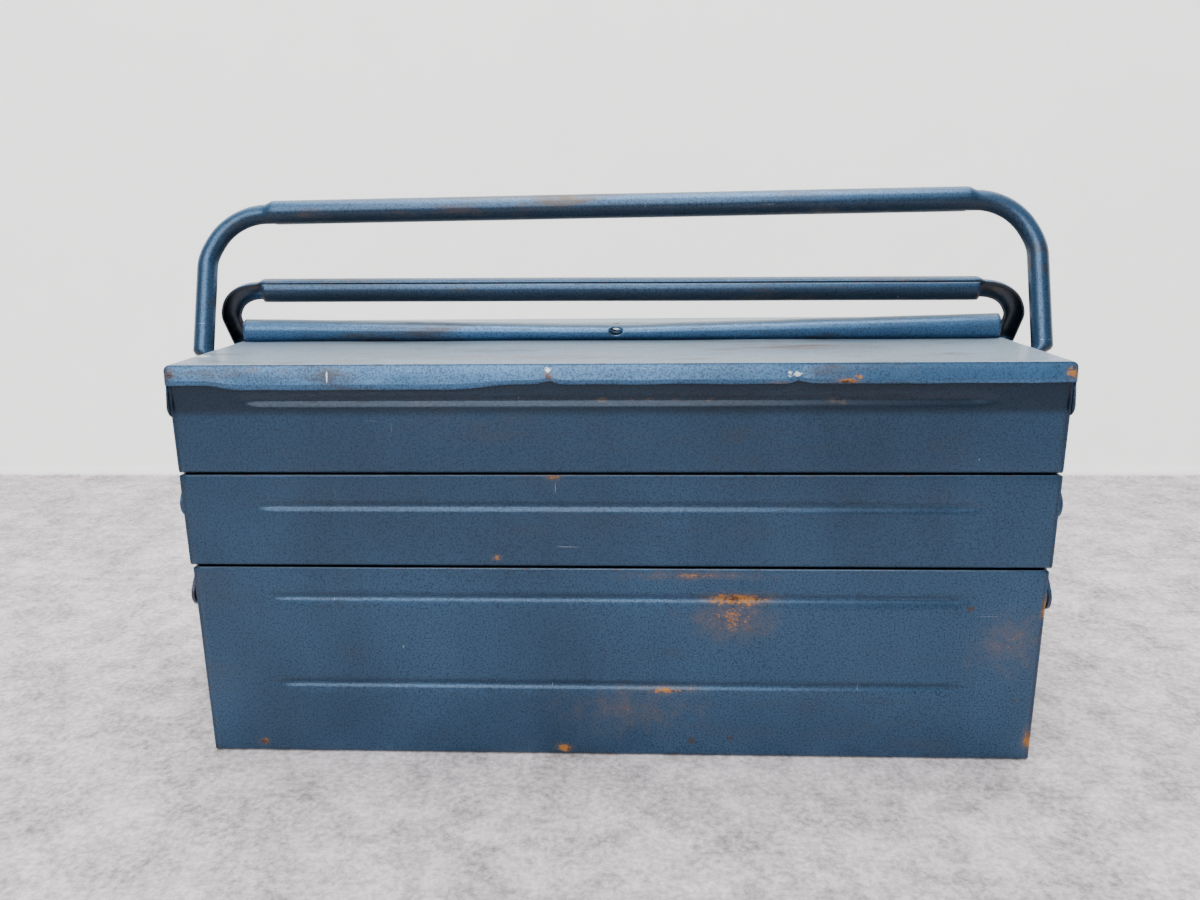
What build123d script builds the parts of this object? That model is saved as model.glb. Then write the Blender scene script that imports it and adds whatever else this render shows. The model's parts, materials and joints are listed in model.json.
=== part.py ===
"""Five-compartment cantilever toolbox in folded sheet steel.

Millimetres. X runs along the box, the front faces -Y and Z is up. The origin is the middle of the base's
underside. The two halves mirror each other in the XZ plane, except that the front handle has longer legs.
"""

import math
import os

from build123d import *

os.makedirs("parts", exist_ok=True)

# --- sheet metal ---------------------------------------------------------------------------------
sheet = 0.8                 # thickness of every folded sheet
bend_radius = 2.5           # outer radius of the folds beside a tray's floor
hem_height = 6.0            # top edges are folded over inwards by this much
rim_radius = 0.72           # rounding of a folded rim, almost the sheet's thickness
weld_flange = 7.0           # width of an end panel's welding flanges

# --- overall sizes -------------------------------------------------------------------------------
base_length = 426.0
tray_end_overhang = 1.2     # each swinging tray beyond the base, at either end
box_depth = 200.0
base_height = 104.4
middle_tray_height = 47.8
upper_tray_extra = 4.7      # the upper trays are this much deeper, so that the lid clears the arms
tier_gap = 0.6              # air between a tray's floor and the rim it rests over
centre_gap = 1.5            # air between the front trays and the rear trays

# --- stiffening grooves --------------------------------------------------------------------------
groove_width = 6.0
groove_depth = 1.5
groove_end_margin = 32.0    # from the end of the box to the end of a groove
groove_below_rim = 16.0
lower_groove_below_rim = 64.0

# --- swinging arms -------------------------------------------------------------------------------
arm_width = 14.0
arm_thickness = 1.5
arm_pivot_inset = 9.0       # from a tray's front or back face to its outermost arm pivots
arm_pivot_below_rim = 16.4
washer_thickness = 1.0      # between a tray's end and an arm
washer_radius = 5.5

# --- rivets --------------------------------------------------------------------------------------
arm_rivet_radius = 2.5
lid_rivet_radius = 2.0
handle_rivet_radius = 3.0
rivet_head_overhang = 2.0   # head radius beyond the shank
lid_rivet_overhang = 1.3    # small, to sit beside the tray's front flange
rivet_head_height = 1.2
rivet_tail_height = 1.2
running_clearance = 0.05    # radial, between a rivet and each hole around it
side_play = 0.1             # along X, on each face of a piece that turns

# --- lids ----------------------------------------------------------------------------------------
lid_overhang = 2.4          # the lid's front lip beyond the tray's front face
lid_end_clearance = 0.8     # between a tray's end and the lid's end lip
lid_lip_height = 9.5
lid_edge_radius = 3.0
lid_rim_gap = 0.8           # between a tray's rim and the lid's underside
lid_hinge_below_lip = 11.0
lid_ear_radius = 6.0
lid_ear_root = 22.0         # length of the ear where it leaves the end lip
ridge_half_gap = 0.6        # from the centre plane to the ridge
ridge_width = 13.8
ridge_height = 13.0         # above the lid
ridge_end_margin = 3.9      # from the end of the lid to the end of the ridge
padlock_hole_radius = 3.2
padlock_hole_above_lid = 5.6

# --- handles -------------------------------------------------------------------------------------
handle_pivot_from_centre = 34.0
handle_pivot_below_rim = 17.9
handle_spacer = 4.0         # between a tray's end and a handle's foot
handle_spacer_radius = 5.0
foot_thickness = 1.5
foot_radius = 7.0
foot_straight = 10.0        # flat foot above the pivot, before the sheet bends out to the leg
foot_slope = 14.0           # where the foot slants out to the leg
foot_top_inner = 1.0        # the slant's top edge beyond the leg's middle, on the open side
foot_top_outer = 4.0        # and on the closed side, which faces away from the box
grip_radius = 6.75
grip_sheet = 1.2
leg_radius = 5.75           # outer radius of a leg's half-round channel
leg_clearance = 7.2         # from the lid's end to the leg
front_grip_above_lid = 74.7
rear_grip_above_lid = 28.0
rear_grip_past_middle = 2.0 # it leans this far past the middle, clear of its own lid's swing
front_bend_radius = 32.5
rear_bend_radius = 24.0

# --- worked out from the above -------------------------------------------------------------------
half_depth = box_depth / 2
half_base = base_length / 2
half_tray = half_base + tray_end_overhang
middle_floor = base_height + tier_gap
middle_rim = middle_floor + middle_tray_height
upper_floor = middle_rim + tier_gap
upper_tray_height = middle_tray_height + upper_tray_extra
upper_rim = upper_floor + upper_tray_height
lid_top = upper_rim + lid_rim_gap + sheet
lid_half_length = half_tray + lid_end_clearance + sheet

arm_reach = (half_depth - 2 * arm_pivot_inset) / 2
tier_pitch = middle_tray_height + tier_gap
outer_pivot = half_depth - arm_pivot_inset
middle_pivot = outer_pivot - arm_reach
inner_pivot = middle_pivot - arm_reach
base_pivot_height = base_height - arm_pivot_below_rim
middle_pivot_height = base_pivot_height + tier_pitch
upper_pivot_height = middle_pivot_height + tier_pitch
arm_inner = half_tray + washer_thickness + side_play
arm_outer = arm_inner + arm_thickness

lid_hinge_inset = 2 * sheet + lid_rivet_radius + lid_rivet_overhang + side_play
lid_hinge_y = -(half_depth - lid_hinge_inset)
lid_hinge_height = lid_top - lid_lip_height - lid_hinge_below_lip
handle_pivot_height = upper_rim - handle_pivot_below_rim
foot_inner = half_tray + handle_spacer + side_play
foot_outer = foot_inner + foot_thickness
leg_centre = lid_half_length + leg_clearance + leg_radius

groove_arc_radius = ((groove_width / 2) ** 2 + groove_depth**2) / (2 * groove_depth)
groove_half_length = half_base - groove_end_margin

mirror_plane = Plane.XZ


# --- shared shapes -------------------------------------------------------------------------------
def save(part, name):
    """Label a finished piece and write it."""
    part.label = name
    export_step(part, f"parts/{name}.step")


def groove_bar(face_y, height, radius):
    """A round-ended bar whose surface makes a pressed groove in the wall at face_y."""
    axis_y = face_y - groove_arc_radius + groove_depth
    with BuildPart() as bar:
        with BuildSketch(Plane.XY.offset(height)) as outline:
            with Locations((0, axis_y)):
                SlotOverall(2 * groove_half_length, 2 * radius)
            with Locations((0, axis_y - radius)):
                Rectangle(base_length, 2 * radius, mode=Mode.SUBTRACT)
        revolve(axis=Axis((0, axis_y, height), (1, 0, 0)))
    return bar.part


def folded_tray(half_length, front, back, floor, height, grooves, double_fronted):
    """Front wall, floor and rear wall folded from one sheet, with hemmed top edges."""
    depth = back - front
    middle_y = (front + back) / 2
    with BuildPart() as tray:
        with BuildSketch(Plane.YZ) as profile:
            with Locations((middle_y, floor + height / 2)):
                Rectangle(depth, height)
            fillet(profile.vertices().group_by(Axis.Y)[0], bend_radius)
            with Locations((middle_y, floor + sheet + height / 2)):
                Rectangle(depth - 2 * sheet, height, mode=Mode.SUBTRACT)
            inner_corners = profile.vertices().filter_by(lambda v: abs(v.Y - floor - sheet) < 1e-6)
            fillet(inner_corners, bend_radius - sheet)
            for edge_y, inwards in ((front, 1), (back, -1)):
                with Locations((edge_y + inwards * sheet, floor + height - hem_height / 2)):
                    Rectangle(2 * sheet, hem_height)
            fillet(profile.vertices().group_by(Axis.Y)[-1], rim_radius)
        extrude(amount=half_length - sheet, both=True)
        for below_rim in grooves:
            groove_height = floor + height - below_rim
            bead = groove_bar(front, groove_height, groove_arc_radius + sheet)
            hollow = groove_bar(front, groove_height, groove_arc_radius)
            wall_half = Plane.XZ.offset(-front - sheet / 2)
            add(split(bead, bisect_by=wall_half, keep=Keep.BOTTOM, mode=Mode.PRIVATE))
            add(hollow, mode=Mode.SUBTRACT)
            if double_fronted:
                back_bead = split(bead, bisect_by=wall_half, keep=Keep.BOTTOM, mode=Mode.PRIVATE)
                add(back_bead.mirror(mirror_plane))
                add(hollow.mirror(mirror_plane), mode=Mode.SUBTRACT)
    return tray.part


def end_panel(half_length, front, back, floor, height, holes):
    """Right-hand end: a plate with a hem at its rim and three welding flanges inside the folded sheet."""
    depth = back - front
    middle_y = (front + back) / 2
    plate_inner = half_length - sheet
    flange_low = floor + bend_radius + sheet
    flange_high = floor + height - hem_height - sheet
    with BuildPart() as panel:
        with BuildSketch(Plane.YZ.offset(plate_inner)) as plate:
            with Locations((middle_y, floor + height / 2)):
                Rectangle(depth, height)
            fillet(plate.vertices().group_by(Axis.Y)[0], bend_radius)
        extrude(amount=sheet)
        hem_depth = depth - 2 * (2 * sheet + side_play)
        with Locations((plate_inner - sheet / 2, middle_y, floor + height - hem_height / 2)):
            Box(sheet, hem_depth, hem_height)
        flange_x = plate_inner - weld_flange / 2
        with Locations((flange_x, middle_y, floor + 1.5 * sheet)):
            Box(weld_flange, depth - 2 * (bend_radius + sheet), sheet)
        for edge_y, inwards in ((front, 1), (back, -1)):
            with Locations((flange_x, edge_y + inwards * 1.5 * sheet, (flange_low + flange_high) / 2)):
                Box(weld_flange, sheet, flange_high - flange_low)
        rim_edges = panel.edges().filter_by(Axis.Y).group_by(Axis.Z)[-1]
        fillet(rim_edges.sort_by(Axis.X)[-1], rim_radius)
        for hole_y, hole_z, rivet_radius in holes:
            with Locations(Location((half_length, hole_y, hole_z), (0, 90, 0))):
                Hole(rivet_radius + running_clearance, depth=2 * sheet)
    return panel.part


def rivet(shank_radius, overhang, seat_inner, seat_outer):
    """One rivet along X, closed against the panel inside and domed outside."""
    head_radius = shank_radius + overhang
    dome_radius = (head_radius**2 + rivet_head_height**2) / (2 * rivet_head_height)
    dome_centre = seat_outer + rivet_head_height - dome_radius
    with BuildPart() as one:
        with BuildSketch(Plane.XY) as half_profile:
            with BuildLine():
                Polyline(
                    (seat_inner - rivet_tail_height, 0),
                    (seat_inner - rivet_tail_height, head_radius - rivet_tail_height / 2),
                    (seat_inner - rivet_tail_height / 2, head_radius),
                    (seat_inner, head_radius),
                    (seat_inner, shank_radius),
                    (seat_outer, shank_radius),
                    (seat_outer, head_radius),
                )
                half_way = head_radius / 2
                ThreePointArc(
                    (seat_outer, head_radius),
                    (dome_centre + math.sqrt(dome_radius**2 - half_way**2), half_way),
                    (seat_outer + rivet_head_height, 0),
                )
                Line((seat_outer + rivet_head_height, 0), (seat_inner - rivet_tail_height, 0))
            make_face()
        revolve(axis=Axis.X)
    return one.part


def washer(radius, bore, inner_face, outer_face):
    """One washer or spacer along X."""
    with BuildPart() as ring:
        with BuildSketch(Plane.YZ.offset(inner_face)):
            Circle(radius)
            Circle(bore, mode=Mode.SUBTRACT)
        extrude(amount=outer_face - inner_face)
    return ring.part


def at_both_ends(piece, pivots):
    """The same piece at each pivot of the right-hand end, and turned round at the left-hand end."""
    with BuildPart() as group:
        for pivot_y, pivot_z in pivots:
            with Locations(Location((0, pivot_y, pivot_z)), Location((0, pivot_y, pivot_z), (0, 0, 180))):
                add(piece)
    return group.part


def arm(pivots):
    """A flat right-hand arm through two or three pivots in line, drilled to turn on its rivets."""
    first = pivots[0]
    last = pivots[-1]
    span = math.dist(first, last)
    lean = math.degrees(math.atan2(last[1] - first[1], last[0] - first[0]))
    middle = ((first[0] + last[0]) / 2, (first[1] + last[1]) / 2)
    with BuildPart() as bar:
        with BuildSketch(Plane.YZ.offset(arm_inner)):
            with Locations(Location((middle[0], middle[1], 0), (0, 0, lean))):
                SlotCenterToCenter(span, arm_width)
            with Locations(*pivots):
                Circle(arm_rivet_radius + running_clearance, mode=Mode.SUBTRACT)
        extrude(amount=arm_thickness)
    return bar.part


def folded_lid():
    """The front lid: top, front lip and end lips, a rolled ridge along the centre edge, two hinge ears."""
    front = -half_depth - lid_overhang
    ridge_front = -ridge_half_gap - ridge_width
    ridge_middle = -ridge_half_gap - ridge_width / 2
    ridge_radius = ridge_width / 2
    ridge_straight = lid_top + ridge_height - ridge_radius
    depth = ridge_front - front
    underside = lid_top - sheet
    with BuildPart() as lid:
        with BuildSketch(Plane.XY.offset(lid_top - lid_lip_height)) as outline:
            with Locations((0, (front + ridge_front) / 2)):
                Rectangle(2 * lid_half_length, depth)
            fillet(outline.vertices().group_by(Axis.Y)[0], lid_edge_radius)
        extrude(amount=lid_lip_height)
        top_edges = lid.edges().group_by(Axis.Z)[-1]
        rolled_edges = top_edges.filter_by(lambda e: e.center().Y < ridge_front - 0.1)
        fillet(rolled_edges, lid_edge_radius)

        inner_radius = lid_edge_radius - sheet
        with BuildPart(mode=Mode.PRIVATE) as hollow:
            with BuildSketch(Plane.XY.offset(lid_top - 2 * lid_lip_height)) as inner_outline:
                with Locations((0, (front + sheet + ridge_front + sheet) / 2)):
                    Rectangle(2 * (lid_half_length - sheet), depth)
                fillet(inner_outline.vertices().group_by(Axis.Y)[0], inner_radius)
            extrude(amount=2 * lid_lip_height - sheet)
            inner_top = hollow.edges().group_by(Axis.Z)[-1]
            fillet(inner_top.filter_by(lambda e: e.center().Y < ridge_front - 0.1), inner_radius)
        add(hollow.part, mode=Mode.SUBTRACT)

        with BuildSketch(Plane.YZ) as ridge_profile:
            with Locations((ridge_middle, (underside + ridge_straight) / 2)):
                Rectangle(ridge_width, ridge_straight - underside)
            with Locations((ridge_middle, ridge_straight)):
                Circle(ridge_radius)
            with Locations((ridge_middle, (underside + ridge_straight) / 2)):
                Rectangle(ridge_width - 2 * sheet, ridge_straight - underside, mode=Mode.SUBTRACT)
            with Locations((ridge_middle, ridge_straight)):
                Circle(ridge_radius - sheet, mode=Mode.SUBTRACT)
        extrude(amount=lid_half_length - ridge_end_margin, both=True)

        for side in (-1, 1):
            ear_plane = Plane.YZ.offset(side * (lid_half_length - sheet / 2))
            with BuildSketch(ear_plane):
                lip_edge = lid_top - lid_lip_height + sheet
                with BuildLine():
                    Polyline(
                        (front + lid_edge_radius, lip_edge),
                        (lid_hinge_y - lid_ear_radius, lid_hinge_height),
                        (lid_hinge_y + lid_ear_radius, lid_hinge_height),
                        (front + lid_edge_radius + lid_ear_root, lip_edge),
                        close=True,
                    )
                make_face()
                with Locations((lid_hinge_y, lid_hinge_height)):
                    Circle(lid_ear_radius)
                    Circle(lid_rivet_radius + running_clearance, mode=Mode.SUBTRACT)
            extrude(amount=sheet / 2, both=True)

        hole_height = lid_top + padlock_hole_above_lid
        with Locations(Location((0, ridge_middle, hole_height), (90, 0, 0))):
            Cylinder(padlock_hole_radius, 2 * ridge_width, mode=Mode.SUBTRACT)
    return lid.part


def handle_foot(plane):
    """The flattened, joggled foot of a handle's right leg, drilled for its rivet."""
    leg_inner = leg_centre - leg_radius
    bend_end = foot_straight + foot_slope
    foot_top = bend_end + foot_straight
    with BuildPart() as foot:
        side_plane = Plane(origin=plane.from_local_coords((0, 0, 0)), x_dir=plane.y_dir, z_dir=plane.x_dir)
        with BuildSketch(side_plane):
            with BuildLine():
                Polyline(
                    (0, -foot_radius),
                    (foot_top, -foot_top_inner),
                    (foot_top, foot_top_outer),
                    (0, foot_radius),
                    close=True,
                )
            make_face()
            Circle(foot_radius)
            Circle(handle_rivet_radius + running_clearance, mode=Mode.SUBTRACT)
        extrude(amount=leg_centre)
        with BuildSketch(plane):
            with BuildLine():
                Polyline(
                    (foot_inner, -foot_radius),
                    (foot_inner, foot_straight),
                    (leg_inner, bend_end),
                    (leg_inner, foot_top),
                    (leg_inner + foot_thickness, foot_top),
                    (leg_inner + foot_thickness, bend_end),
                    (foot_outer, foot_straight),
                    (foot_outer, -foot_radius),
                    close=True,
                )
            make_face()
        extrude(amount=foot_radius, both=True, mode=Mode.INTERSECT)
    return foot.part


def pressed_handle(grip_height, bend, past_middle):
    """A handle on the front half: open channel legs and bends, and a grip rolled shut."""
    rise = grip_height - handle_pivot_height
    reach = handle_pivot_from_centre + past_middle
    leg_length = math.hypot(reach, rise)
    outwards = (0, -rise, reach)
    plane = Plane(origin=(0, -handle_pivot_from_centre, handle_pivot_height), x_dir=(1, 0, 0), z_dir=outwards)
    bend_start = leg_length - bend
    grip_half = leg_centre - bend
    leg_start = foot_straight + foot_slope / 2
    foot = handle_foot(plane)
    grip_plane = Plane(
        origin=plane.from_local_coords((-grip_half, leg_length, 0)), x_dir=plane.y_dir, z_dir=plane.x_dir
    )
    with BuildPart() as handle:
        with BuildSketch(grip_plane):
            Circle(grip_radius)
            Circle(grip_radius - grip_sheet, mode=Mode.SUBTRACT)
        extrude(amount=2 * grip_half)
        for side in (-1, 1):
            leg_plane = Plane(
                origin=plane.from_local_coords((side * leg_centre, bend_start, 0)),
                x_dir=plane.x_dir,
                z_dir=-plane.y_dir,
            )
            with BuildSketch(leg_plane) as leg_profile:
                Circle(leg_radius)
                Circle(leg_radius - grip_sheet, mode=Mode.SUBTRACT)
                with Locations((0, -leg_radius)):
                    Rectangle(4 * leg_radius, 2 * leg_radius, mode=Mode.SUBTRACT)
            extrude(amount=bend_start - leg_start)
            bend_centre = plane.from_local_coords((side * grip_half, bend_start, 0))
            revolve(
                leg_profile.sketch,
                axis=Axis(bend_centre, plane.z_dir * side),
                revolution_arc=90,
            )
            add(foot if side > 0 else foot.mirror(Plane.YZ))
    return handle.part


# --- base ----------------------------------------------------------------------------------------
base_pivots = [(y, base_pivot_height) for y in (-outer_pivot, -middle_pivot, middle_pivot, outer_pivot)]
base_size = (half_base, -half_depth, half_depth, 0, base_height)
base_holes = [(y, z, arm_rivet_radius) for y, z in base_pivots]

base_tray = folded_tray(*base_size, (groove_below_rim, lower_groove_below_rim), True)
base_end = end_panel(*base_size, base_holes)
save(base_tray, "base_tray")
save(base_end, "base_end_right")
save(base_end.mirror(Plane.YZ), "base_end_left")

base_rivet = rivet(arm_rivet_radius, rivet_head_overhang, half_base - sheet, arm_outer + side_play)
base_spacer = washer(
    washer_radius, arm_rivet_radius + running_clearance, half_base, half_tray + washer_thickness
)
save(at_both_ends(base_rivet, base_pivots), "base_arm_rivets")
save(at_both_ends(base_spacer, base_pivots), "base_arm_spacers")

# --- the front half, and its mirror image at the rear --------------------------------------------
middle_size = (half_tray, -half_depth, -centre_gap / 2, middle_floor, middle_tray_height)
upper_size = (half_tray, -half_depth, -centre_gap / 2, upper_floor, upper_tray_height)
middle_pivots = [(-y, middle_pivot_height) for y in (outer_pivot, middle_pivot, inner_pivot)]
upper_pivots = [(-y, upper_pivot_height) for y in (middle_pivot, inner_pivot)]
lid_hinge = (lid_hinge_y, lid_hinge_height)
handle_pivot = (-handle_pivot_from_centre, handle_pivot_height)
middle_holes = [(y, z, arm_rivet_radius) for y, z in middle_pivots]
upper_holes = [(y, z, arm_rivet_radius) for y, z in upper_pivots]
upper_holes += [(*lid_hinge, lid_rivet_radius), (*handle_pivot, handle_rivet_radius)]

tray_rivet = rivet(arm_rivet_radius, rivet_head_overhang, half_tray - sheet, arm_outer + side_play)
tray_washer = washer(
    washer_radius, arm_rivet_radius + running_clearance, half_tray, half_tray + washer_thickness
)
lid_rivet = rivet(lid_rivet_radius, lid_rivet_overhang, half_tray - sheet, lid_half_length + side_play)
handle_rivet = rivet(handle_rivet_radius, rivet_head_overhang, half_tray - sheet, foot_outer + side_play)
handle_ring = washer(
    handle_spacer_radius, handle_rivet_radius + running_clearance, half_tray, half_tray + handle_spacer
)

middle_end = end_panel(*middle_size, middle_holes)
upper_end = end_panel(*upper_size, upper_holes)
long_arm = arm([(-outer_pivot, base_pivot_height), middle_pivots[1], upper_pivots[1]])
lower_short_arm = arm([(-middle_pivot, base_pivot_height), middle_pivots[2]])
upper_short_arm = arm([middle_pivots[0], upper_pivots[0]])

front_pieces = {
    "middle_tray": folded_tray(*middle_size, (groove_below_rim,), False),
    "middle_tray_end_right": middle_end,
    "middle_tray_end_left": middle_end.mirror(Plane.YZ),
    "middle_tray_arm_rivets": at_both_ends(tray_rivet, middle_pivots),
    "middle_tray_arm_washers": at_both_ends(tray_washer, middle_pivots),
    "upper_tray": folded_tray(*upper_size, (groove_below_rim,), False),
    "upper_tray_end_right": upper_end,
    "upper_tray_end_left": upper_end.mirror(Plane.YZ),
    "upper_tray_arm_rivets": at_both_ends(tray_rivet, upper_pivots),
    "upper_tray_arm_washers": at_both_ends(tray_washer, upper_pivots),
    "long_arm_right": long_arm,
    "long_arm_left": long_arm.mirror(Plane.YZ),
    "lower_short_arm_right": lower_short_arm,
    "lower_short_arm_left": lower_short_arm.mirror(Plane.YZ),
    "upper_short_arm_right": upper_short_arm,
    "upper_short_arm_left": upper_short_arm.mirror(Plane.YZ),
    "lid": folded_lid(),
    "lid_rivets": at_both_ends(lid_rivet, [lid_hinge]),
    "handle_rivets": at_both_ends(handle_rivet, [handle_pivot]),
    "handle_spacers": at_both_ends(handle_ring, [handle_pivot]),
}
for name, piece in front_pieces.items():
    save(piece, f"front_{name}")
    save(piece.mirror(mirror_plane), f"rear_{name}")

# --- handles, one with long legs and one with short ----------------------------------------------
save(pressed_handle(lid_top + front_grip_above_lid, front_bend_radius, 0), "front_handle")
short_handle = pressed_handle(lid_top + rear_grip_above_lid, rear_bend_radius, rear_grip_past_middle)
save(short_handle.mirror(mirror_plane), "rear_handle")
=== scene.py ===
# %% [markdown]
# # A cantilever toolbox in blue hammertone
# The toolbox is folded sheet steel: a deep base, two middle trays and two upper trays that swing outwards
# on flat arms, a lid on each upper tray and two pressed handles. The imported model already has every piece
# in its place, so this lesson loads it, keeps the flat pieces as they are and presses new sheet metal for
# the ones whose shape is softer than a solid model can say: trays, lids and handles.

# %% Load the frame
import json
import math

import bmesh
import bpy
from mathutils import Matrix, Vector, noise


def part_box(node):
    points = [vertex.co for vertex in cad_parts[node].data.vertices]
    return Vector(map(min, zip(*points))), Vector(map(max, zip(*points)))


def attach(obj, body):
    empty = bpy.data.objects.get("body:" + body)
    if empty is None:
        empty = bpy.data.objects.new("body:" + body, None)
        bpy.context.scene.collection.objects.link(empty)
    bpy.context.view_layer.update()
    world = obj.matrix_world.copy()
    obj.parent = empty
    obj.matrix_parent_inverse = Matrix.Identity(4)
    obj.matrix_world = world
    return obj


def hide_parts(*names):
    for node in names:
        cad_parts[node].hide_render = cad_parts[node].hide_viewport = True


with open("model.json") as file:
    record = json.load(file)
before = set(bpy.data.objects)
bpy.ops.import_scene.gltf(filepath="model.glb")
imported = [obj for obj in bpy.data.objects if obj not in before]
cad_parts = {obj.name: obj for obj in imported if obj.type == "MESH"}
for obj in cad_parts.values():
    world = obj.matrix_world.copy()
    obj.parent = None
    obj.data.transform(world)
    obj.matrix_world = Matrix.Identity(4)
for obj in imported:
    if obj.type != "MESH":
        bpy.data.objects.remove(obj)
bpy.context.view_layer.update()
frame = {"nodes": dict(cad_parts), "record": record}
mm = 0.001

# %% [markdown]
# ## The camera
# A toolbox is judged as it stands on the floor in front of you: a little above the lid, close enough for
# the perspective to show. The camera is placed by its height, its distance and three angles, and turned
# into a matrix, which is plainer than guessing at Euler angles. It leans a fraction to one side, as a
# hand-held camera does.

# %% Camera
camera_place = Vector((11.8, -530.2, 274.1)) * mm
camera_down = math.radians(14.16)
camera_left = math.radians(2.37)
camera_lean = math.radians(-0.61)
sensor_width = 36.0
lens_length = 27.66


def make_camera():
    """A camera that looks along +Y, turned left, down and then leant about its own axis."""
    data = bpy.data.cameras.new("camera")
    data.sensor_width = sensor_width
    data.lens = lens_length
    data.clip_start = 0.01
    camera = bpy.data.objects.new("camera", data)
    bpy.context.scene.collection.objects.link(camera)
    upright = Matrix.Rotation(math.pi / 2, 4, "X")
    turn = Matrix.Rotation(camera_left, 4, "Z")
    tilt = Matrix.Rotation(-camera_down, 4, "X")
    lean = Matrix.Rotation(camera_lean, 4, "Z")
    camera.matrix_world = Matrix.Translation(camera_place) @ turn @ tilt @ upright @ lean
    bpy.context.scene.camera = camera
    return camera


make_camera()
print("camera", round(lens_length, 2), "mm lens,", round(camera_place.z / mm), "mm above the floor")

# %% [markdown]
# ## Reading and writing shader nodes
# Every finish here is a small node graph. Two helpers keep them short: one adds a node and fills its
# sockets with a number, a colour or another node's output, and one makes a soft blob, 1 at its centre
# and 0 outside, that places rust, dirt and painted shade at listed points. The others are the sums that
# every finish needs.

# %% Shader helpers


def add_node(tree, kind, inputs=None, **settings):
    """One node in tree, its properties from settings and its sockets from inputs, by name or number."""
    node = tree.nodes.new(kind)
    for key, value in settings.items():
        setattr(node, key, value)
    for key, value in (inputs or {}).items():
        if isinstance(value, bpy.types.NodeSocket):
            tree.links.new(value, node.inputs[key])
        else:
            node.inputs[key].default_value = value
    return node


def maths(tree, operation, *values, clamp=False):
    """The output of one Math node."""
    inputs = dict(enumerate(values))
    return add_node(tree, "ShaderNodeMath", inputs, operation=operation, use_clamp=clamp).outputs[0]


def ramp(tree, value, low, high, out_low=0.0, out_high=1.0):
    """A smooth step of value from low to high."""
    inputs = {"Value": value, "From Min": low, "From Max": high, "To Min": out_low, "To Max": out_high}
    node = add_node(tree, "ShaderNodeMapRange", inputs, interpolation_type="SMOOTHSTEP")
    return node.outputs["Result"]


def mix_colour(tree, factor, first, second):
    """first where factor is 0 and second where it is 1."""
    inputs = {"Factor": factor, 6: first, 7: second}
    return add_node(tree, "ShaderNodeMix", inputs, data_type="RGBA").outputs[2]


def speckle(tree, place, scale, detail=2.0, stretch=(1, 1, 1), roughness=0.55):
    """Noise between 0 and 1 on the piece's own coordinates, stretched if asked."""
    if stretch != (1, 1, 1):
        place = add_node(tree, "ShaderNodeMapping", {"Vector": place, "Scale": stretch}).outputs[0]
    inputs = {"Vector": place, "Scale": scale, "Detail": detail, "Roughness": roughness}
    return add_node(tree, "ShaderNodeTexNoise", inputs).outputs["Fac"]


def blob(tree, place, centre, size):
    """1 at centre, falling to 0 where the point is size away; all in millimetres."""
    offset = [-c / s for c, s in zip(centre, size)]
    scale = [1 / (s * mm) for s in size]
    moved = add_node(
        tree, "ShaderNodeVectorMath", {0: place, 1: scale, 2: offset}, operation="MULTIPLY_ADD"
    )
    distance = add_node(tree, "ShaderNodeVectorMath", {0: moved.outputs[0]}, operation="LENGTH")
    return ramp(tree, distance.outputs["Value"], 1.0, 0.0)


# %% [markdown]
# ## Blue hammertone paint
# Hammertone is a stoving paint with aluminium flake and a silicone that pulls it into tiny craters as it
# dries, so the surface is pitted and the flake gathers between the pits. It could be a picture, but a
# picture has one scale and one place; built from noise it is sharp at every distance and it sits on the
# metal. The colours come first, then each layer is a small function that takes the colour so far and
# gives it back changed. Noise scales are in features per metre.

# %% Paint colours
pit_blue = (0.010, 0.030, 0.064, 1)
flake_blue = (0.026, 0.070, 0.136, 1)
dust_grey = (0.33, 0.385, 0.41, 1)
scratch_pale = (0.52, 0.60, 0.64, 1)
# Brown for greasy smears and dark dirt, also used for painted shade in the long dark strips.
grime_and_shade_brown = (0.055, 0.042, 0.035, 1)
rust_dark = (0.085, 0.030, 0.014, 1)
rust_orange = (0.44, 0.19, 0.045, 1)
haze_brown = (0.16, 0.11, 0.08, 1)
bare_steel = (0.62, 0.64, 0.64, 1)
paint_metallic = 0.6
paint_coat = 0.25
coat_roughness = 0.22
print("nine colours for paint, dirt, rust and steel")

# %% [markdown]
# ## Pits and tone
# The flake mask is a fine noise times a cell pattern, which leaves small dark craters with pale paint
# between them. The tone is the slow change that sun and handling make: broad patches and faint streaks that
# run down a wall. Painted shade goes on the tone too: a darker lower edge on a lid's lip and its hinge tabs,
# a painted shadow under the lid's lip on the upper trays, and darker undersides on the grips.

# %% Pits and tone
pit_scale = 1050
crater_scale = 950
patch_scale = 9
streak_scale = 26
# Painted shade on the lowest edge of a lid's lip and on its hinge tabs: the share of the tone left there,
# and how tall the darkening is.
lip_edge_shade = 0.3
lip_edge_depth = 1.5 * mm
# Painted shadow under the lid's lip on the upper trays: the share of the tone left at its darkest, and how
# far up the darkening runs.
lip_shadow_darkest = 0.4
lip_shadow_reach = 5 * mm


def hammered_flake(tree, place):
    """Flake between the pits, from 0 in a pit to 1, and the noise that the pits come from."""
    pits = speckle(tree, place, pit_scale, detail=2.5, roughness=0.6)
    cells = add_node(tree, "ShaderNodeTexVoronoi", {"Vector": place, "Scale": crater_scale})
    crater = ramp(tree, cells.outputs["Distance"], 0.1, 0.55)
    between_pits = ramp(tree, pits, 0.34, 0.56, 0.08, 1.0)
    between_craters = ramp(tree, crater, 0.0, 0.5, 0.6, 1.0)
    return maths(tree, "MULTIPLY", between_pits, between_craters), pits


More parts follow.
